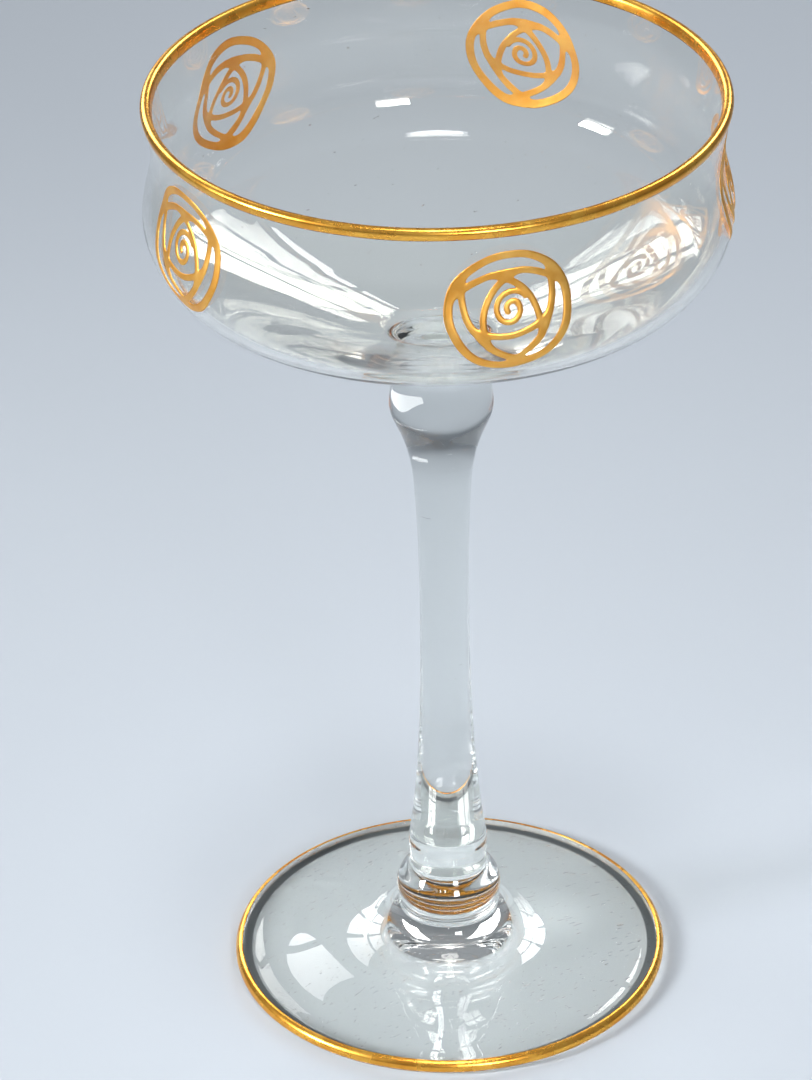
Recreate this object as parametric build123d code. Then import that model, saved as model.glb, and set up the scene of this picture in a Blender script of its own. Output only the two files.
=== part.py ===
from build123d import *
import os
from math import cos, radians, sin

# Saucer champagne glass (coupe): a blown bowl, a drawn solid stem with a knop and a collar,
# and a spun foot, fused hot in that order, then gilded on the lip, on the edge of the foot
# and with five rose roundels on the outside of the bowl.
# Millimetres.  +Z is up, and the origin is the centre of the circle that the foot stands on.

# ---- Overall sizes, measured over the gilding ----
overall_height = 160.0
rim_diameter = 90.6
foot_diameter = 72.0
gilt_thickness = 0.10

# A pull, here and below, says how far an outline holds its direction before it bends away.

# ---- Bowl: drops are measured down from the lip, on the outside of the wall ----
bowl_wall = 1.5
lip_flare = 14.0          # lean of the wall at the lip, degrees from upright
lip_pull = 2.6
neck_pinch = 1.15         # how much smaller the radius is at the neck than at the lip
neck_drop = 9.0
neck_pull = 3.2
belly_swell = 0.5         # how much larger the radius is at the belly than at the lip
belly_drop = 19.1
belly_pull = 3.6
turn_inset = 5.4          # where the turn from the wall to the floor ends
turn_drop = 28.7
turn_slope = 28.4         # slope of the floor there, degrees
floor_pull = 10.0
heel_radius = 9.5         # where the floor runs into the stem
heel_drop = 42.8
heel_slope = 15.0
heel_pull = 1.8
heel_wall = 2.3           # the floor thickens towards the stem
well_drop = 41.5          # lowest point inside the bowl
well_pull = 3.0
bowl_depth = 46.4         # lip to the joint with the stem

# ---- Stem: rises are measured up from the foot joint, falls down from the bowl joint ----
foot_joint_lean = 30.0    # how far the collar leans out at the joint, degrees
joint_pull = 0.9
collar_diameter = 17.3
collar_rise = 2.4
ankle_diameter = 12.8
ankle_rise = 7.7
calf_diameter = 13.1
calf_rise = 11.0
calf_pull = 1.5
waist_diameter = 8.04
waist_rise = 53.6
waist_pull = 30.0
shaft_top_diameter = 9.24
shaft_top_fall = 22.6
shaft_top_lean = 3.5      # degrees from upright
shaft_pull = 9.5
knop_diameter = 16.6
knop_fall = 7.9
knop_pull = 2.8
bowl_joint_diameter = 14.6

# ---- Foot ----
foot_joint_diameter = 16.2
foot_joint_height = 11.4
hub_lean = 10.0           # lean of the hub at the joint, degrees from upright
hub_pull = 4.5
disc_radius = 19.0        # where the hub has flared out into the disc
disc_height = 4.35
disc_slope = 7.0
disc_pull = 6.0
foot_edge_thickness = 2.4
contact_ring_width = 1.5
foot_hollow = 2.0         # rise of the underside at its centre
hollow_slope = 7.0        # slope of the underside at the ring that it stands on
hollow_pull = 10.0

# ---- Gilding ----
rim_band_drop = 1.9       # how far the band reaches below the lip
foot_band_start = -30.0   # the part of the rounded edge that is gilt, degrees from level
roundel_diameter = 19.4
roundel_drop = 14.2       # lip to the centre of a roundel
# The roundels are set by hand, a fifth of a turn apart with a few degrees of error.
# Angles are measured from the front, -Y, towards +X.
roundel_bearings = [13.2, 87.0, 161.2, 228.2, 300.9]
seam_bearing = 50.0       # between two roundels, where the bowl's turned surfaces close
ring_stroke = 1.35
petal_stroke = 1.05
# A rose of three petals round three petals round a coiled bud.  Each petal is an arc: its
# bearing on the drawing, how far it passes from the centre, and its radius.
outer_petals = [(94.0, 6.05, 12.6), (214.0, 6.0, 11.8), (335.0, 6.1, 12.2)]
inner_petals = [(36.0, 3.7, 8.8), (156.0, 3.6, 8.4), (276.0, 3.8, 9.2)]
bud_stroke = 0.9
bud_radii = [2.45, 1.7, 0.95]   # half turns of the coil, from the outside in

# ---- Values worked out from the ones above ----
glass_height = overall_height - gilt_thickness
rim_radius = rim_diameter / 2 - gilt_thickness
foot_radius = foot_diameter / 2 - gilt_thickness
belly_radius = rim_radius + belly_swell
bowl_joint_height = overall_height - bowl_depth
axis_up = Axis.Z


def at_drop(radius, drop):
    """A point of the bowl's outline, measured down from the lip."""
    return Vector(radius, 0, overall_height - drop)


def heading(lean):
    """Unit direction in the XZ plane, given as degrees above level and outwards."""
    return Vector(cos(radians(lean)), 0, sin(radians(lean)))


def bend(start, leaving, leaving_pull, end, arriving, arriving_pull):
    """A curve between two points that holds its direction for a while at each end."""
    return Bezier(start, start + leaving * leaving_pull, end - arriving * arriving_pull, end)


def offset_curve(curve, first, last, stations=8):
    """The curve at a distance to its left, easing from the first distance to the last."""
    moved = []
    for i in range(stations + 1):
        t = i / stations
        ahead = (curve % t).normalized()
        left = Vector(-ahead.Z, 0, ahead.X)
        ease = t * t * (3 - 2 * t)
        moved.append(curve @ t + left * (first + (last - first) * ease))
    return Spline(*moved, tangents=(curve % 0, curve % 1))


def turned(*edges):
    """The solid of revolution of a closed outline in the XZ plane."""
    return revolve(make_face(Wire(list(edges))), axis_up)


# ---- Bowl ----
def wall_curves():
    """The outside of the bowl from the lip down to the heel, as four curves."""
    half = bowl_wall / 2
    lip_centre = Vector(rim_radius - half, 0, glass_height - half)
    lip = lip_centre + heading(-lip_flare) * half
    neck = at_drop(rim_radius - neck_pinch, neck_drop)
    belly = at_drop(belly_radius, belly_drop)
    turn = at_drop(belly_radius - turn_inset, turn_drop)
    heel = at_drop(heel_radius, heel_drop)
    down = heading(-90)
    into_floor = heading(180 + turn_slope)
    return [
        bend(lip, heading(-90 - lip_flare), lip_pull, neck, down, neck_pull),
        bend(neck, down, neck_pull, belly, down, neck_pull),
        bend(belly, down, belly_pull, turn, into_floor, belly_pull),
        bend(turn, into_floor, floor_pull, heel, heading(180 + heel_slope), floor_pull),
    ]


def lip_arc(clearance):
    """The rounded lip, or the same arc standing a little outside it."""
    half = bowl_wall / 2
    centre = Vector(rim_radius - half, 0, glass_height - half)
    out = heading(-lip_flare) * (half + clearance)
    top = heading(90) * (half + clearance)
    return ThreePointArc(centre + out, centre + top, centre - out)


def inside_curves(outside):
    """The inside of the wall: the outside moved in by the wall, thicker at the heel."""
    upper = [offset_curve(curve, -bowl_wall, -bowl_wall) for curve in outside[:3]]
    return upper + [offset_curve(outside[3], -bowl_wall, -heel_wall)]


def make_bowl():
    outside = wall_curves()
    inside = inside_curves(outside)
    well = at_drop(0, well_drop)
    joint_edge = at_drop(bowl_joint_diameter / 2, bowl_depth)
    joint_centre = at_drop(0, bowl_depth)
    off_floor = heading(180 + heel_slope)
    heel_fillet = bend(outside[3] @ 1, off_floor, heel_pull, joint_edge, heading(-90), heel_pull)
    well_curve = bend(inside[3] @ 1, off_floor, well_pull, well, heading(180), well_pull)
    bowl = turned(
        *outside,
        heel_fillet,
        Line(joint_edge, joint_centre),
        Line(joint_centre, well),
        well_curve,
        *inside,
        lip_arc(0),
    )
    return bowl.rotate(axis_up, seam_bearing - 90)


# ---- Stem ----
def make_stem():
    def rising(diameter, rise):
        return Vector(diameter / 2, 0, foot_joint_height + rise)

    def falling(diameter, fall):
        return Vector(diameter / 2, 0, bowl_joint_height - fall)

    up = heading(90)
    flare = heading(90 - shaft_top_lean)
    bottom = rising(foot_joint_diameter, 0)
    collar = rising(collar_diameter, collar_rise)
    ankle = rising(ankle_diameter, ankle_rise)
    calf = rising(calf_diameter, calf_rise)
    waist = rising(waist_diameter, waist_rise)
    shaft_top = falling(shaft_top_diameter, shaft_top_fall)
    knop = falling(knop_diameter, knop_fall)
    top = falling(bowl_joint_diameter, 0)
    return turned(
        bend(bottom, heading(90 - foot_joint_lean), joint_pull, collar, up, joint_pull),
        bend(collar, up, collar_rise, ankle, up, calf_pull),
        bend(ankle, up, calf_pull, calf, up, calf_pull),
        bend(calf, up, calf_pull, waist, up, waist_pull),
        bend(waist, up, shaft_pull, shaft_top, flare, shaft_pull),
        bend(shaft_top, flare, shaft_pull, knop, up, knop_pull),
        bend(knop, up, knop_pull, top, up, knop_pull),
        Line(top, Vector(0, 0, top.Z)),
        Line(Vector(0, 0, top.Z), Vector(0, 0, bottom.Z)),
        Line(Vector(0, 0, bottom.Z), bottom),
    )


# ---- Foot ----
def foot_edge_arc(clearance, first, last):
    """Part of the rounded edge of the foot, between two angles above level."""
    half = foot_edge_thickness / 2
    centre = Vector(foot_radius - half, 0, half)
    reach = half + clearance
    middle = (first + last) / 2
    return ThreePointArc(
        centre + heading(first) * reach,
        centre + heading(middle) * reach,
        centre + heading(last) * reach,
    )


def make_foot():
    half = foot_edge_thickness / 2
    ring_outside = Vector(foot_radius - half, 0, 0)
    ring_inside = Vector(foot_radius - half - contact_ring_width, 0, 0)
    hollow = Vector(0, 0, foot_hollow)
    joint_edge = Vector(foot_joint_diameter / 2, 0, foot_joint_height)
    edge_top = Vector(foot_radius - half, 0, foot_edge_thickness)
    disc = Vector(disc_radius, 0, disc_height)
    up_disc = heading(180 - disc_slope)
    up_hub = heading(90 + hub_lean)
    top = bend(edge_top, heading(180), disc_pull, disc, up_disc, disc_pull)
    hub = bend(disc, up_disc, disc_pull, joint_edge, up_hub, hub_pull)
    underside = bend(
        hollow, heading(0), hollow_pull, ring_inside, heading(-hollow_slope), hollow_pull
    )
    return turned(
        foot_edge_arc(0, -90, 90),
        top,
        hub,
        Line(joint_edge, Vector(0, 0, foot_joint_height)),
        Line(Vector(0, 0, foot_joint_height), hollow),
        underside,
        Line(ring_inside, ring_outside),
    )


# ---- Gilding ----
def make_rim_gilding():
    """A thin coat over the lip and a short way down both sides of it."""
    outer = wall_curves()[0]
    inner = offset_curve(outer, -bowl_wall, -bowl_wall)
    coat_outer = offset_curve(outer, gilt_thickness, gilt_thickness)
    coat_inner = offset_curve(
        outer, -bowl_wall - gilt_thickness, -bowl_wall - gilt_thickness
    )
    coat = turned(
        outer,
        Line(outer @ 1, coat_outer @ 1),
        coat_outer,
        lip_arc(gilt_thickness),
        coat_inner,
        Line(coat_inner @ 1, inner @ 1),
        inner,
        lip_arc(0),
    )
    band = Cylinder(rim_diameter, 2 * rim_band_drop)
    return coat & Pos(0, 0, overall_height) * band


def make_foot_gilding():
    """A thin coat on the upper part of the rounded edge of the foot."""
    face = foot_edge_arc(0, foot_band_start, 90)
    coat = foot_edge_arc(gilt_thickness, foot_band_start, 90)
    return turned(face, Line(face @ 1, coat @ 1), coat, Line(coat @ 0, face @ 0))


def circle_past(bearing, reach, curve, growth):
    """A disc whose edge passes the centre of the drawing at a distance, grown a little."""
    away = radians(bearing)
    place = Pos((reach - curve) * cos(away), (reach - curve) * sin(away))
    return place * Circle(curve + growth)


def petal_stroke_face(petal):
    """The stroke along the edge of one petal."""
    half = petal_stroke / 2
    return circle_past(*petal, half) - circle_past(*petal, -half)


def petal_field(petals):
    """The rounded triangle inside three petals, with their strokes."""
    first, second, third = (circle_past(*petal, petal_stroke / 2) for petal in petals)
    return first & second & third


def coil(radii, stroke):
    """Half rings that join end to end, each smaller than the last."""
    reach = 2 * radii[0]
    start = radii[0]
    drawing = None
    for turn, radius in enumerate(radii):
        side = 1 if turn % 2 == 0 else -1
        middle = start - side * radius
        ring = Circle(radius + stroke / 2) - Circle(radius - stroke / 2)
        half_ring = ring & Pos(0, side * reach / 2) * Rectangle(2 * reach, reach)
        placed = Pos(middle, 0) * half_ring
        drawing = placed if drawing is None else drawing + placed
        start = middle - side * radius
    return drawing


def rose():
    """The flat drawing of a roundel: a ring, two rounds of petals, and a bud whose coil
    starts on the inner edge of the first inner petal."""
    disc = Circle(roundel_diameter / 2)
    drawing = disc - Circle(roundel_diameter / 2 - ring_stroke)
    for petal in outer_petals:
        drawing += petal_stroke_face(petal) & disc
    heart = petal_field(outer_petals)
    for petal in inner_petals:
        drawing += petal_stroke_face(petal) & heart
    bearing, reach, _ = inner_petals[0]
    bud_shift = reach - petal_stroke / 2 - bud_radii[0]
    bud = Pos(bud_shift, 0) * coil(bud_radii, bud_stroke)
    return drawing + Rot(0, 0, bearing) * bud


def bowl_skin():
    """A coat over the outside of the bowl, from the lip to the end of the turn."""
    outside = wall_curves()[:3]
    coat = [offset_curve(c, gilt_thickness, gilt_thickness) for c in outside]
    return turned(
        *outside,
        Line(outside[-1] @ 1, coat[-1] @ 1),
        *coat,
        Line(coat[0] @ 0, outside[0] @ 0),
    )


def make_roundel(skin, drawing, bearing):
    """The drawing carried straight out through the wall, kept where it meets the coat."""
    height = overall_height - roundel_drop
    tool_plane = Plane(
        origin=(0, -belly_radius / 2 - 5, height), x_dir=(1, 0, 0), z_dir=(0, -1, 0)
    )
    tool = extrude(tool_plane * drawing, belly_radius / 2)
    return (skin & tool).rotate(axis_up, bearing)


def main():
    os.makedirs("parts", exist_ok=True)
    export_step(make_bowl(), "parts/bowl.step")
    export_step(make_stem(), "parts/stem.step")
    export_step(make_foot(), "parts/foot.step")
    export_step(make_rim_gilding(), "parts/rim_gilding.step")
    export_step(make_foot_gilding(), "parts/foot_gilding.step")
    skin = bowl_skin()
    drawing = rose()
    for number, bearing in enumerate(roundel_bearings, start=1):
        roundel = make_roundel(skin, drawing, bearing)
        export_step(roundel, f"parts/rose_roundel_{number}.step")


main()
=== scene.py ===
import math

import bpy
import numpy as np
from mathutils import Matrix, Vector


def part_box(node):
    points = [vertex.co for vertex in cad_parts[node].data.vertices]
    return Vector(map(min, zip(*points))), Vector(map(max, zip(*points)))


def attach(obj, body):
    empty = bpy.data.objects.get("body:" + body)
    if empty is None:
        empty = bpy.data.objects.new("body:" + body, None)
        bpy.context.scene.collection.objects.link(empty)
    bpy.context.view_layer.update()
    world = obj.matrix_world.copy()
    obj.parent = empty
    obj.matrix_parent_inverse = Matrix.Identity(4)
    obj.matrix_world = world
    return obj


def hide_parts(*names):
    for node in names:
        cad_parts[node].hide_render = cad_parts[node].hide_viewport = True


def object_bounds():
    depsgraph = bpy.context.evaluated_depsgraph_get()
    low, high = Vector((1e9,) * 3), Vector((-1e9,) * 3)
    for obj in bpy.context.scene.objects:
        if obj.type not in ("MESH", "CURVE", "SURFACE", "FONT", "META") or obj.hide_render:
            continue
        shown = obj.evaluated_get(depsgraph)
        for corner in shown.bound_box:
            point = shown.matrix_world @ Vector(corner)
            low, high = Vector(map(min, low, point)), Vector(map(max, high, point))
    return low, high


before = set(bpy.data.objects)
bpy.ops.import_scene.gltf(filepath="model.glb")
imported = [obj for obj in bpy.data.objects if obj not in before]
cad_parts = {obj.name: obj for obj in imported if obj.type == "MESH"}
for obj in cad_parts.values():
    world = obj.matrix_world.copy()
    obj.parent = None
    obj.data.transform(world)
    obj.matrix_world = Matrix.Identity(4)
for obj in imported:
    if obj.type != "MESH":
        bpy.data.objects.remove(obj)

cad_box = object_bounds()
MM = 0.001                               # a millimetre, in the scene's metres

# ---------------------------------------------------------------------------
# Camera: a long lens looking down into the bowl from in front, with the glass
# a little right of the middle of a tall frame and its lip near the top edge.
# ---------------------------------------------------------------------------
camera_place = Vector((0, -702.2, 506.4)) * MM
pitch = math.radians(31.25)              # below level
swing = math.radians(-0.49)              # towards the right of straight ahead
roll = math.radians(-1.14)
lens_length = 170.6                      # millimetres
sensor_length = 36                       # millimetres, along the frame's longer side
forward = Vector(
    (math.sin(swing) * math.cos(pitch), math.cos(swing) * math.cos(pitch), -math.sin(pitch))
)
level_right = Vector((math.cos(swing), -math.sin(swing), 0))
level_up = level_right.cross(forward)
camera_right = level_right * math.cos(roll) + level_up * math.sin(roll)
camera_up = level_up * math.cos(roll) - level_right * math.sin(roll)
camera_data = bpy.data.cameras.new("camera")
camera_data.lens = lens_length
camera_data.sensor_width = sensor_length
camera = bpy.data.objects.new("camera", camera_data)
turn = Matrix((camera_right, camera_up, -forward)).transposed().to_4x4()
camera.matrix_world = Matrix.Translation(camera_place) @ turn
bpy.context.scene.collection.objects.link(camera)
bpy.context.scene.camera = camera

# ---------------------------------------------------------------------------
# Bowl: clear soda-lime glass, blown into a mould and turned while it cooled, so
# the wall is smooth with faint ripples round it.  The lip is fire polished, and
# the thick bottom is fused to the stem.
# ---------------------------------------------------------------------------
lip_height = cad_box[1][2]
gilt = 0.1 * MM                          # the coat of gold stands this far proud
rim_radius = 45.2 * MM
belly_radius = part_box("bowl")[1][0]
bowl_joint_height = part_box("bowl")[0][2]
bowl_wall = 1.5 * MM
heel_wall = 2.3 * MM
lip_flare = 14                           # degrees that the wall leans out at the lip
turn_slope = 28.4                        # degrees below level, where the floor starts
heel_slope = 15                          # degrees below level, where the floor ends


def heading(lean):
    """Unit direction in an outline's plane, in degrees above level and outwards."""
    return np.array([math.cos(math.radians(lean)), math.sin(math.radians(lean))])


def bend(start, leaving, leaving_pull, end, arriving, arriving_pull, steps=24):
    """Points of a curve that holds its direction for a while at each end."""
    a = np.array(start, float)
    d = np.array(end, float)
    b = a + heading(leaving) * leaving_pull
    c = d - heading(arriving) * arriving_pull
    t = np.linspace(0, 1, steps + 1)[:, None]
    return (1 - t) ** 3 * a + 3 * (1 - t) ** 2 * t * b + 3 * (1 - t) * t * t * c + t**3 * d


def arc(centre, radius, first, last, steps=16):
    """Points of an arc, in degrees above level."""
    angles = np.radians(np.linspace(first, last, steps + 1))
    return np.array(centre) + radius * np.column_stack([np.cos(angles), np.sin(angles)])


def joined(*curves):
    """One outline from curves that meet end to end."""
    return np.vstack([curves[0]] + [curve[1:] for curve in curves[1:]])


def moved_left(curve, first, last):
    """The curve at a distance to its left, easing from the first distance to the last."""
    along = np.gradient(curve, axis=0)
    along /= np.linalg.norm(along, axis=1)[:, None]
    t = np.linspace(0, 1, len(curve))[:, None]
    ease = t * t * (3 - 2 * t)
    return curve + np.column_stack([-along[:, 1], along[:, 0]]) * (first + (last - first) * ease)


def at_drop(radius, drop):
    """A point of the bowl's outline, measured down from the gilt lip in millimetres."""
    return np.array([radius, lip_height - drop * MM])


lip_centre = np.array([rim_radius - bowl_wall / 2, lip_height - gilt - bowl_wall / 2])
lip_start = lip_centre + heading(-lip_flare) * bowl_wall / 2
neck = at_drop(rim_radius - 1.15 * MM, 9.0)
belly = at_drop(belly_radius, 19.1)
turn_end = at_drop(belly_radius - 5.4 * MM, 28.7)
heel = at_drop(9.5 * MM, 42.8)
well = at_drop(0, 41.5)
bowl_joint = np.array([7.3 * MM, bowl_joint_height])
upper_wall = bend(lip_start, -90 - lip_flare, 2.6 * MM, neck, -90, 3.2 * MM)
lower_wall = bend(neck, -90, 3.2 * MM, belly, -90, 3.2 * MM)
bowl_turn = bend(belly, -90, 3.6 * MM, turn_end, 180 + turn_slope, 3.6 * MM)
bowl_floor = bend(turn_end, 180 + turn_slope, 10 * MM, heel, 180 + heel_slope, 10 * MM, 36)
heel_fillet = bend(heel, 180 + heel_slope, 1.8 * MM, bowl_joint, -90, 1.8 * MM, 12)
bowl_outside = joined(upper_wall, lower_wall, bowl_turn)
inner_wall = moved_left(bowl_outside, -bowl_wall, -bowl_wall)
inner_floor = moved_left(bowl_floor, -bowl_wall, -heel_wall)
inner_well = bend(inner_floor[-1], 180 + heel_slope, 3 * MM, well, 180, 3 * MM, 12)
lip_round = arc(lip_centre, bowl_wall / 2, 180 - lip_flare, -lip_flare)
bowl_inside = joined(inner_wall, inner_floor, inner_well)[::-1]
bowl_outline = joined(
    bowl_inside, lip_round, bowl_outside, bowl_floor, heel_fillet,
    [bowl_joint, [0, bowl_joint_height]],
)


def lathe(name, outline, turns=256, joints=()):
    """A closed turned mesh.  The outline starts and ends on the axis, and goes round the
    section clockwise.  Faces at the heights in joints are the fused joints, material 1."""
    sharp_corner = math.radians(40)
    at_joint = 0.001 * MM
    outline = np.array(outline)
    angles = np.linspace(0, 2 * math.pi, turns, endpoint=False)
    rings = outline[1:-1]
    verts = [(0, 0, outline[0][1])]
    for radius, height in rings:
        for angle in angles:
            verts.append((radius * math.cos(angle), radius * math.sin(angle), height))
    verts.append((0, 0, outline[-1][1]))
    faces = []
    for i in range(turns):
        j = (i + 1) % turns
        faces.append((0, 1 + i, 1 + j))
        for ring in range(len(rings) - 1):
            low = 1 + ring * turns
            high = low + turns
            faces.append((low + i, high + i, high + j, low + j))
        last = 1 + (len(rings) - 1) * turns
        faces.append((last + i, len(verts) - 1, last + j))
    mesh = bpy.data.meshes.new(name)
    mesh.from_pydata(verts, [], faces)
    mesh.polygons.foreach_set("use_smooth", [True] * len(mesh.polygons))
    mesh.set_sharp_from_angle(angle=sharp_corner)
    for face in mesh.polygons:
        if any(abs(face.center.z - joint) < at_joint for joint in joints):
            face.material_index = 1
    piece = bpy.data.objects.new(name, mesh)
    bpy.context.scene.collection.objects.link(piece)
    return piece


def linear(hex_colour):
    """A colour written as sRGB hex, in the linear values that a shader takes."""
    channels = [int(hex_colour[i:i + 2], 16) / 255 for i in (1, 3, 5)]
    return [c / 12.92 if c <= 0.04045 else ((c + 0.055) / 1.055) ** 2.4 for c in channels] + [1]


def add(tree, kind, settings=(), links=()):
    """Adds a node.  settings gives its properties and its sockets' values by name, and
    links gives the outputs of other nodes that its sockets take."""
    node = tree.nodes.new(kind)
    for key, value in dict(settings).items():
        if hasattr(node, key):
            setattr(node, key, value)
        else:
            node.inputs[key].default_value = value
    for key, source in dict(links).items():
        tree.links.new(source, node.inputs[key])
    return node


def glass(name, tint, ripple_size, scratch_rarity):
    """Clear soda-lime glass, fire polished: an IOR of 1.52 and no roughness, so the eye
    sees sharp mirrored lamps and a bent view of the floor.  Tools left ripples in it,
    their size in millimetres along each axis, and wiping left a few hairline scratches,
    drawn wider than they are so that they show; they are fewer as the rarity nears 1.
    Lamps shine through it, and its edges shade the floor."""
    ripple_depth = 0.05 * MM
    scratch_length = 2.9 * MM
    scratch_width = 0.33 * MM
    scratch_depth = 0.1 * MM
    scratch_lean = math.radians(35)
    scratch_fade = 0.04
    scratch_roughness = 0.25
    material = bpy.data.materials.new(name)
    material.use_nodes = True
    tree = material.node_tree
    tree.nodes.clear()
    place = add(tree, "ShaderNodeTexCoord")
    spread = add(
        tree, "ShaderNodeMapping",
        {"vector_type": "TEXTURE", "Scale": [size * MM for size in ripple_size]},
        {"Vector": place.outputs["Object"]},
    )
    waves = add(
        tree, "ShaderNodeTexNoise", {"Scale": 1.0, "Detail": 2.0, "Roughness": 0.4},
        {"Vector": spread.outputs["Vector"]},
    )
    bump = add(
        tree, "ShaderNodeBump", {"Strength": 1.0, "Distance": ripple_depth},
        {"Height": waves.outputs["Fac"]},
    )
    slanted = add(
        tree, "ShaderNodeMapping",
        {
            "vector_type": "TEXTURE", "Rotation": (0.3, 0.2, scratch_lean),
            "Scale": (scratch_length, scratch_width, scratch_width),
        },
        {"Vector": place.outputs["Object"]},
    )
    hairs = add(
        tree, "ShaderNodeTexNoise", {"Scale": 1.0, "Detail": 1.0, "Roughness": 0.3},
        {"Vector": slanted.outputs["Vector"]},
    )
    scratches = add(
        tree, "ShaderNodeMapRange",
        {"From Min": scratch_rarity, "From Max": scratch_rarity + scratch_fade},
        {"Value": hairs.outputs["Fac"]},
    )
    scuff = add(
        tree, "ShaderNodeMapRange", {"To Max": scratch_roughness},
        {"Value": scratches.outputs["Result"]},
    )
    cut = add(
        tree, "ShaderNodeBump", {"Strength": 1.0, "Distance": scratch_depth, "invert": True},
        {"Height": scratches.outputs["Result"], "Normal": bump.outputs["Normal"]},
    )
    clear = add(
        tree, "ShaderNodeBsdfPrincipled",
        {"Base Color": linear(tint), "IOR": 1.52, "Transmission Weight": 1.0},
        {"Roughness": scuff.outputs["Result"], "Normal": cut.outputs["Normal"]},
    )
    edge = add(tree, "ShaderNodeLayerWeight", {"Blend": 0.35})
    shade = add(tree, "ShaderNodeValToRGB", (), {"Fac": edge.outputs["Facing"]})
    shade.color_ramp.elements[0].color = linear("#F4F4F1")
    shade.color_ramp.elements[1].color = linear("#5E6463")
    shadow = add(tree, "ShaderNodeBsdfTransparent", (), {"Color": shade.outputs["Color"]})
    ray = add(tree, "ShaderNodeLightPath")
    mixed = add(
        tree, "ShaderNodeMixShader", (),
        {0: ray.outputs["Is Shadow Ray"], 1: clear.outputs["BSDF"], 2: shadow.outputs["BSDF"]},
    )
    add(tree, "ShaderNodeOutputMaterial", (), {"Surface": mixed.outputs["Shader"]})
    return material


def fused_joint():
    """Where two pieces were fused there is no surface left, so light passes straight on."""
    material = bpy.data.materials.new("fused_joint")
    material.use_nodes = True
    tree = material.node_tree
    tree.nodes.clear()
    through = add(tree, "ShaderNodeBsdfTransparent", {"Color": (1, 1, 1, 1)})
    add(tree, "ShaderNodeOutputMaterial", (), {"Surface": through.outputs["BSDF"]})
    return material


joint_glass = fused_joint()
bowl = lathe("blown_bowl", bowl_outline, joints=[bowl_joint_height])
bowl.data.materials.append(glass("blown_glass", "#FAFAF6", (33.3, 33.3, 11.1), 0.8))
bowl.data.materials.append(joint_glass)
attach(bowl, "root")
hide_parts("bowl")

# ---------------------------------------------------------------------------
# Stem: a solid bar of the same glass, drawn out hot between the knop and the
# collar, so its surface has faint streaks that run up it.
# ---------------------------------------------------------------------------
foot_joint_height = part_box("stem")[0][2]


def rising(diameter, rise):
    """A point of the stem, measured up from the foot joint in millimetres."""
    return np.array([diameter / 2 * MM, foot_joint_height + rise * MM])


def falling(diameter, fall):
    """A point of the stem, measured down from the bowl joint in millimetres."""
    return np.array([diameter / 2 * MM, bowl_joint_height - fall * MM])


foot_joint = rising(16.2, 0)
collar = rising(17.3, 2.4)
ankle = rising(12.8, 7.7)
calf = rising(13.1, 11.0)
waist = rising(8.04, 53.6)
shaft_top = falling(9.24, 22.6)
knop = falling(16.6, 7.9)
shaft_flare = 3.5                        # degrees that the shaft leans out at its top
shaft_lean = 90 - shaft_flare
stem_side = joined(
    bend(foot_joint, 60, 0.9 * MM, collar, 90, 0.9 * MM, 8),
    bend(collar, 90, 2.4 * MM, ankle, 90, 1.5 * MM, 16),
    bend(ankle, 90, 1.5 * MM, calf, 90, 1.5 * MM, 10),
    bend(calf, 90, 1.5 * MM, waist, 90, 30 * MM, 40),
    bend(waist, 90, 9.5 * MM, shaft_top, shaft_lean, 9.5 * MM, 24),
    bend(shaft_top, shaft_lean, 9.5 * MM, knop, 90, 2.8 * MM, 24),
    bend(knop, 90, 2.8 * MM, bowl_joint, 90, 2.8 * MM, 16),
)
stem_outline = np.vstack([[0, bowl_joint_height], stem_side[::-1], [0, foot_joint_height]])
stem = lathe("drawn_stem", stem_outline, 160, [bowl_joint_height, foot_joint_height])
stem.data.materials.append(glass("drawn_glass", "#EFF1EF", (6.25, 6.25, 125), 0.81))
stem.data.materials.append(joint_glass)
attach(stem, "root")
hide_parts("stem")

# ---------------------------------------------------------------------------
# Foot: a gob of the same glass spun out into a disc, with a rounded edge and a
# slightly hollow underside, so that it stands on a narrow ring.
# ---------------------------------------------------------------------------
foot_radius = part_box("foot")[1][0]
foot_edge = 2.4 * MM
contact_ring = 1.5 * MM
foot_hollow = 2.0 * MM
edge_centre = np.array([foot_radius - foot_edge / 2, foot_edge / 2])
disc = np.array([19.0, 4.35]) * MM       # where the hub has flattened out into the disc
disc_slope = 7                           # degrees below level, outwards
ring_outside = np.array([foot_radius - foot_edge / 2, 0])
ring_inside = ring_outside - [contact_ring, 0]
foot_outline = joined(
    [[0, foot_joint_height], foot_joint],
    bend(foot_joint, -80, 4.5 * MM, disc, -disc_slope, 6 * MM, 32),
    bend(disc, -disc_slope, 6 * MM, edge_centre + [0, foot_edge / 2], 0, 6 * MM, 24),
    arc(edge_centre, foot_edge / 2, 90, -90, 24),
    [ring_outside, ring_inside],
    bend(ring_inside, 173, 10 * MM, [0, foot_hollow], 180, 10 * MM, 32),
)
foot = lathe("spun_foot", foot_outline, 256, [foot_joint_height])
foot.data.materials.append(glass("spun_glass", "#F5F6F3", (25, 25, 25), 0.745))
foot.data.materials.append(joint_glass)
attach(foot, "root")
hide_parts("foot")

# ---------------------------------------------------------------------------
# Gilding on the lip: liquid gold laid on with a brush while the glass turned,
# fired, and burnished.  It wraps the lip and thins towards its hand-laid edges.
# ---------------------------------------------------------------------------
gilt_bite = 0.02 * MM                    # the inner side sits this far in the glass
gilt_reach = 2.0 * MM                    # how far below the lip the gold comes


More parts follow.
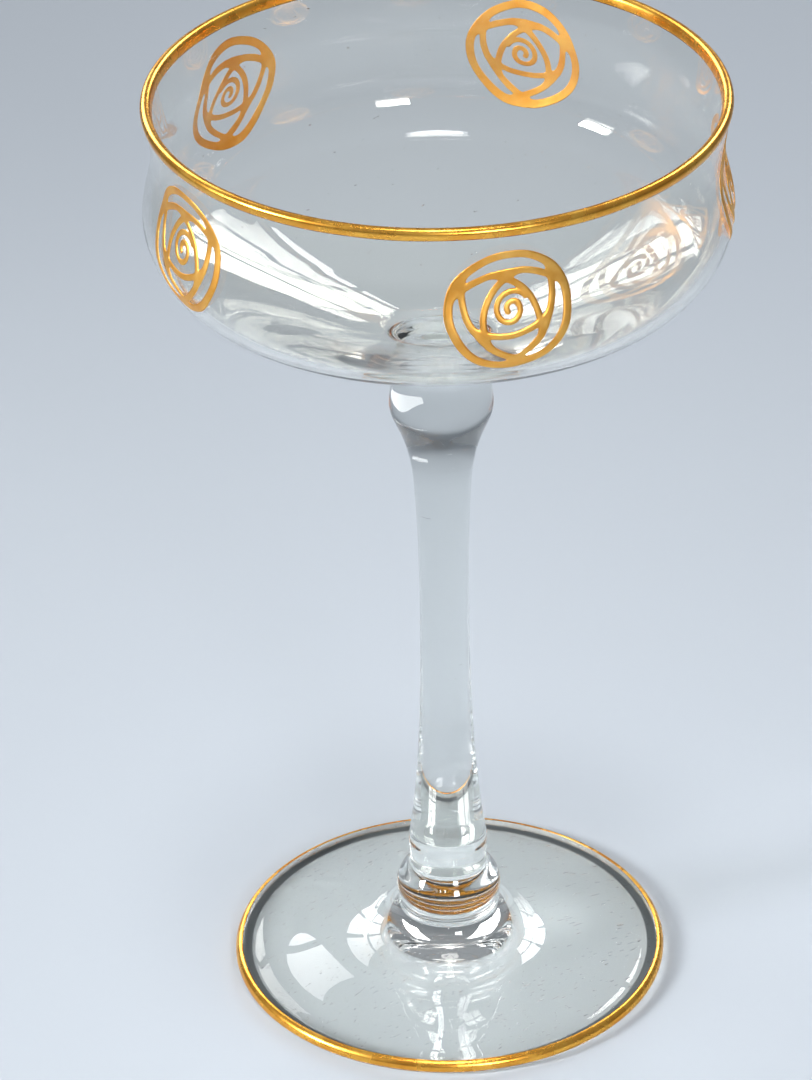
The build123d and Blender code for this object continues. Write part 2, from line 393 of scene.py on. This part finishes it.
def gold(name, dark_tone, light_tone, roughness):
    """Bright gold, 22 carat: a warm orange yellow mirror, clouded in patches where it is
    worn, with the fine grain of a brushed coat, drawn 0.4 mm wide so that it shows."""
    cloud_size = 3.85 * MM
    grain_size = 0.4 * MM
    grain_depth = 0.04 * MM
    material = bpy.data.materials.new(name)
    material.use_nodes = True
    tree = material.node_tree
    tree.nodes.clear()
    place = add(tree, "ShaderNodeTexCoord")
    cloud = add(
        tree, "ShaderNodeTexNoise", {"Scale": 1 / cloud_size, "Detail": 4.0, "Roughness": 0.6},
        {"Vector": place.outputs["Object"]},
    )
    tone = add(tree, "ShaderNodeValToRGB", (), {"Fac": cloud.outputs["Fac"]})
    tone.color_ramp.elements[0].position = 0.35
    tone.color_ramp.elements[0].color = linear(dark_tone)
    tone.color_ramp.elements[1].position = 0.7
    tone.color_ramp.elements[1].color = linear(light_tone)
    rough = add(
        tree, "ShaderNodeMapRange", {"To Min": roughness[0], "To Max": roughness[1]},
        {"Value": cloud.outputs["Fac"]},
    )
    grain = add(
        tree, "ShaderNodeTexNoise", {"Scale": 1 / grain_size, "Detail": 2.0},
        {"Vector": place.outputs["Object"]},
    )
    bump = add(
        tree, "ShaderNodeBump", {"Strength": 0.2, "Distance": grain_depth},
        {"Height": grain.outputs["Fac"]},
    )
    shader = add(
        tree, "ShaderNodeBsdfPrincipled", {"Metallic": 1.0},
        {
            "Base Color": tone.outputs["Color"], "Roughness": rough.outputs["Result"],
            "Normal": bump.outputs["Normal"],
        },
    )
    add(tree, "ShaderNodeOutputMaterial", (), {"Surface": shader.outputs["BSDF"]})
    return material


def wander(angle, phase, waves):
    """How a hand-laid edge strays at an angle round the glass, as a few summed waves."""
    return sum(math.sin(k * angle + phase * k) / k**0.5 for k in waves)


def band(name, path, turns, wobble, waves):
    """A closed coat over an outline's stretch, on its left side: proud by the gilt's
    thickness, thinning to nothing at both edges, which wander a little round the glass."""
    steps = 20
    first_phase = 1.7
    last_phase = 4.1
    shoulder = 8                         # a higher power keeps the coat thick further out
    share = np.linspace(0, 1, steps + 1)
    length = np.concatenate([[0], np.cumsum(np.linalg.norm(np.diff(path, axis=0), axis=1))])
    verts = []
    for i in range(turns):
        angle = 2 * math.pi * i / turns
        low = 2 * wobble + wobble * wander(angle, first_phase, waves)
        high = length[-1] - 2 * wobble + wobble * wander(angle, last_phase, waves)
        stations = low + (high - low) * share
        line = np.column_stack([np.interp(stations, length, path[:, c]) for c in (0, 1)])
        along = np.gradient(line, axis=0)
        along /= np.linalg.norm(along, axis=1)[:, None]
        out = np.column_stack([-along[:, 1], along[:, 0]])
        lift = np.sqrt(np.clip(1 - (2 * share - 1) ** shoulder, 0, 1))[:, None]
        proud = line + out * ((gilt + gilt_bite) * lift - gilt_bite)
        buried = (line - out * gilt_bite)[1:-1][::-1]
        for radius, height in np.vstack([proud, buried]):
            verts.append((radius * math.cos(angle), radius * math.sin(angle), height))
    ring = 2 * steps
    faces = []
    for i in range(turns):
        here = i * ring
        there = (i + 1) % turns * ring
        for k in range(ring):
            following = (k + 1) % ring
            faces.append((here + k, here + following, there + following, there + k))
    mesh = bpy.data.meshes.new(name)
    mesh.from_pydata(verts, [], faces)
    mesh.polygons.foreach_set("use_smooth", [True] * len(mesh.polygons))
    piece = bpy.data.objects.new(name, mesh)
    bpy.context.scene.collection.objects.link(piece)
    return piece


burnished_gold = gold("burnished_gold", "#F5A83E", "#FFC356", (0.2, 0.34))
rim_outside = upper_wall[upper_wall[:, 1] > lip_height - gilt_reach]
rim_inside = moved_left(upper_wall, -bowl_wall, -bowl_wall)
rim_inside = rim_inside[rim_inside[:, 1] > lip_height - gilt_reach]
rim_path = joined(rim_inside[::-1], lip_round, rim_outside)
rim_gilding = band("rim_gold", rim_path, 360, 0.06 * MM, (3, 7, 11, 19))
rim_gilding.data.materials.append(burnished_gold)
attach(rim_gilding, "root")
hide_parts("rim_gilding")

# ---------------------------------------------------------------------------
# Gilding on the foot: the same gold, brushed over the rounded edge while the
# foot turned, from the top of the edge to a little below its widest line.
# ---------------------------------------------------------------------------
foot_path = arc(edge_centre, foot_edge / 2, 90, -30, 24)
foot_gilding = band("foot_gold", foot_path, 300, 0.05 * MM, (2, 5, 13, 17))
foot_gilding.data.materials.append(burnished_gold)
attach(foot_gilding, "root")
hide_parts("foot_gilding")

# ---------------------------------------------------------------------------
# Rose roundels: a ring round a rose of arcs, painted in thick gold on the
# outside of the bowl with a brush, so the strokes are rounded and melt together
# where they cross.
# ---------------------------------------------------------------------------
# The drawing is flat and in millimetres.  A petal's edge is part of a circle, given by
# its bearing from the centre, how far off it passes, and its radius.
roundel_radius = 9.7
roundel_height = lip_height - 14.2 * MM
roundel_bearings = (13.2, 87.0, 161.2, 228.2, 300.9)
ring_stroke = 1.35
petal_stroke = 1.05
outer_petals = ((94, 6.05, 12.6), (214, 6.0, 11.8), (335, 6.1, 12.2))
inner_petals = ((36, 3.7, 8.8), (156, 3.6, 8.4), (276, 3.8, 9.2))
bud_stroke = 0.9
bud_radii = (2.45, 1.7, 0.95)            # half turns of the coil, from the outside in
petal_melt = 0.35                        # how softly the strokes run into each other
bud_melt = 0.15
stroke_round = 0.3                       # the width of a stroke's rounded shoulder


def inside_circle(x, y, bearing, reach, curve):
    """How far a point is inside the circle that passes the centre at a distance."""
    away = math.radians(bearing)
    cx = (reach - curve) * math.cos(away)
    cy = (reach - curve) * math.sin(away)
    return curve - np.hypot(x - cx, y - cy)


def melt(a, b, blend):
    """The larger of two depths, rounded where strokes cross."""
    h = np.clip(0.5 + 0.5 * (a - b) / blend, 0, 1)
    return b + (a - b) * h + blend * h * (1 - h)


def stroke_depth(x, y):
    """How far inside a stroke of the rose each point is, in millimetres."""
    from_edge = roundel_radius - np.hypot(x, y)
    depth = ring_stroke / 2 - np.abs(from_edge - ring_stroke / 2)
    heart = np.full_like(x, np.inf)
    for petal in outer_petals:
        edge = inside_circle(x, y, *petal)
        depth = melt(depth, petal_stroke / 2 - np.abs(edge), petal_melt)
        heart = np.minimum(heart, edge + petal_stroke / 2)
    for petal in inner_petals:
        stroke = petal_stroke / 2 - np.abs(inside_circle(x, y, *petal))
        depth = melt(depth, np.minimum(stroke, heart), petal_melt)
    bearing, reach, _ = inner_petals[0]
    away = math.radians(bearing)
    u = x * math.cos(away) + y * math.sin(away)
    v = y * math.cos(away) - x * math.sin(away)
    start = reach - petal_stroke / 2
    half = bud_stroke / 2
    for turn_number, radius in enumerate(bud_radii):
        side = 1 if turn_number % 2 == 0 else -1
        middle = start - side * radius
        half_ring = half - np.abs(np.hypot(u - middle, v) - radius)
        end = middle - side * radius
        cap = half - np.minimum(np.hypot(u - start, v), np.hypot(u - end, v))
        depth = melt(depth, np.where(side * v >= 0, half_ring, cap), bud_melt)
        start = end
    return np.minimum(depth, from_edge)


def wall_at(height):
    """Radius of the bowl's outside at a height."""
    order = np.argsort(bowl_outside[:, 1])
    return np.interp(height, bowl_outside[order, 1], bowl_outside[order, 0])


def roundel(name, bearing, phase):
    """A painted roundel: the strokes cut out of a fine net of triangles, laid on the
    wall and raised in the middle of each stroke, with a flat back in the glass.  The
    phase sets how this roundel's strokes waver, in millimetres, as a hand's do."""
    cell = 0.16
    margin = 0.3
    sway = 0.08
    shake = 0.03
    sliver = 0.01                        # corners nearer an edge than this would pinch it
    cells = int(2 * (roundel_radius + margin) / cell) + 1
    line = (np.arange(cells + 1) - cells / 2) * cell
    x, y = np.meshgrid(line, line)
    shift_x = sway * np.sin(0.45 * y + phase) + shake * np.sin(1.1 * y + 2 * phase)
    shift_y = sway * np.sin(0.5 * x + 3 * phase) + shake * np.sin(1.2 * x + phase)
    depth = stroke_depth(x + shift_x, y + shift_y)
    depth[np.abs(depth) < sliver] = -sliver
    points = []
    index = {}

    def corner(i, j):
        key = (i, j)
        if key not in index:
            index[key] = len(points)
            points.append((x[i, j], y[i, j], depth[i, j]))
        return index[key]

    def crossing(p, q):
        key = (p, q) if p < q else (q, p)
        if key not in index:
            a, b = key
            share = depth[a] / (depth[a] - depth[b])
            index[key] = len(points)
            points.append((x[a] + (x[b] - x[a]) * share, y[a] + (y[b] - y[a]) * share, 0.0))
        return index[key]

    triangles = []
    for i in range(cells):
        for j in range(cells):
            square = ((i, j), (i, j + 1), (i + 1, j + 1), (i + 1, j))
            if all(depth[c] <= 0 for c in square):
                continue
            for three in ((square[0], square[1], square[2]), (square[0], square[2], square[3])):
                outline = []
                for p, q in zip(three, three[1:] + three[:1]):
                    if depth[p] > 0:
                        outline.append(corner(*p))
                    if (depth[p] > 0) != (depth[q] > 0):
                        outline.append(crossing(p, q))
                for k in range(1, len(outline) - 1):
                    triangles.append((outline[0], outline[k], outline[k + 1]))
    flat = np.array(points)
    heights = roundel_height + flat[:, 1] * MM
    radii = wall_at(heights)
    nearby = 0.05 * MM
    slope = (wall_at(heights + nearby) - wall_at(heights - nearby)) / (2 * nearby)
    angles = math.radians(bearing - 90) + np.arcsin(np.clip(flat[:, 0] * MM / radii, -1, 1))
    tilt = 1 / np.sqrt(1 + slope**2)
    edge = flat[:, 2] <= 0
    relief = np.sqrt(np.clip(flat[:, 2] / stroke_round, 0, 1)) * (gilt + gilt_bite) - gilt_bite

    def laid(lift):
        r = radii + lift * tilt
        z = heights - lift * tilt * slope
        return np.column_stack([r * np.cos(angles), r * np.sin(angles), z])

    front = laid(relief)
    back = laid(np.full(len(flat), -gilt_bite))
    number_back = np.arange(len(flat))
    number_back[~edge] = len(flat) + np.arange((~edge).sum())
    verts = np.vstack([front, back[~edge]])
    faces = [tuple(t) for t in triangles]
    faces += [tuple(int(number_back[v]) for v in reversed(t)) for t in triangles]
    mesh = bpy.data.meshes.new(name)
    mesh.from_pydata(verts.tolist(), [], faces)
    mesh.polygons.foreach_set("use_smooth", [True] * len(mesh.polygons))
    piece = bpy.data.objects.new(name, mesh)
    bpy.context.scene.collection.objects.link(piece)
    return piece


painted_gold = gold("painted_gold", "#F7AE4A", "#FFC768", (0.34, 0.48))
phase_step = 1.3
for number, bearing in enumerate(roundel_bearings, start=1):
    rose = roundel(f"rose_gold_{number}", bearing, phase_step * number)
    rose.data.materials.append(painted_gold)
    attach(rose, "root")
    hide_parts(f"rose_roundel_{number}")

# ---------------------------------------------------------------------------
# Studio: a pale matt floor, soft lamps on the left, in front and overhead, two
# tall windows behind that the bowl mirrors, and a dim even room all round.
# ---------------------------------------------------------------------------
floor_half = 3.0
floor_corners = [(x * floor_half, y * floor_half, 0) for x, y in ((-1, -1), (1, -1), (1, 1), (-1, 1))]
floor_mesh = bpy.data.meshes.new("studio_floor")
floor_mesh.from_pydata(floor_corners, [], [(0, 1, 2, 3)])
floor = bpy.data.objects.new("studio_floor", floor_mesh)
bpy.context.scene.collection.objects.link(floor)
floor_paint = bpy.data.materials.new("matt_floor")
floor_paint.use_nodes = True
floor_shader = floor_paint.node_tree.nodes["Principled BSDF"]
floor_shader.inputs["Base Color"].default_value = linear("#B0B7BF")
floor_shader.inputs["Roughness"].default_value = 0.9
floor.data.materials.append(floor_paint)


def softbox(
    name, bearing, height, distance, size, spread, power, panes=(1, 1), aim=(0, 0, 0.12)
):
    """A soft rectangular lamp, divided into panes by dark bars, that faces the bowl or the
    point given as its aim.  Its bearing is in degrees from the front towards the right, its
    height in degrees above level, and its spread the whole angle that it lights."""
    lit_share = 0.86                     # the bars take up the rest of each pane
    around = math.radians(bearing)
    level = math.radians(height)
    away = Vector(
        (math.sin(around) * math.cos(level), -math.cos(around) * math.cos(level), math.sin(level))
    )
    facing = (-away).to_track_quat("-Z", "Y").to_matrix()
    columns, rows = panes
    for column in range(columns):
        for row in range(rows):
            data = bpy.data.lights.new(f"{name}_{column}_{row}", "AREA")
            data.shape = "RECTANGLE"
            data.size = size[0] / columns * lit_share
            data.size_y = size[1] / rows * lit_share
            data.spread = math.radians(spread)
            data.energy = power / columns / rows
            across = (column + 0.5) / columns - 0.5
            up = (row + 0.5) / rows - 0.5
            pane = bpy.data.objects.new(data.name, data)
            pane.location = Vector(aim) + away * distance
            pane.location += facing @ Vector((across * size[0], up * size[1], 0))
            pane.rotation_euler = facing.to_euler()
            pane.visible_camera = False
            bpy.context.scene.collection.objects.link(pane)


softbox("key", -70, 22, 1.2, (0.3, 0.3), spread=60, power=1.9)
softbox("front", 18, 20, 1.0, (0.26, 0.22), spread=90, power=1.0)
softbox("pool", 0, 84, 1.3, (0.35, 0.35), spread=16, power=0.07)
softbox("front_pool", 0, 72, 1.3, (0.35, 0.35), spread=15, power=0.17, aim=(0, -0.27, 0))
softbox("window_right", 153, 34, 1.5, (0.36, 0.7), spread=60, power=0.9, panes=(2, 3))
softbox("window_left", -151, 27, 1.5, (0.62, 0.95), spread=60, power=1.3, panes=(2, 3))

world = bpy.data.worlds.new("studio")
bpy.context.scene.world = world
world.use_nodes = True
sky = world.node_tree
direction = add(sky, "ShaderNodeTexCoord")
split = add(sky, "ShaderNodeSeparateXYZ", (), {"Vector": direction.outputs["Generated"]})
room = add(sky, "ShaderNodeValToRGB", (), {"Fac": split.outputs["Z"]})
room.color_ramp.elements[0].color = linear("#8C9299")       # level, as dark as the far floor
room.color_ramp.elements[1].color = linear("#C8CDD3")       # straight above
sky.links.new(room.outputs["Color"], sky.nodes["Background"].inputs["Color"])
sky.nodes["Background"].inputs["Strength"].default_value = 0.6

scene = bpy.context.scene
scene.view_settings.view_transform = "Standard"
scene.cycles.max_bounces = 32
scene.cycles.glossy_bounces = 24
scene.cycles.transmission_bounces = 32
scene.cycles.transparent_max_bounces = 32
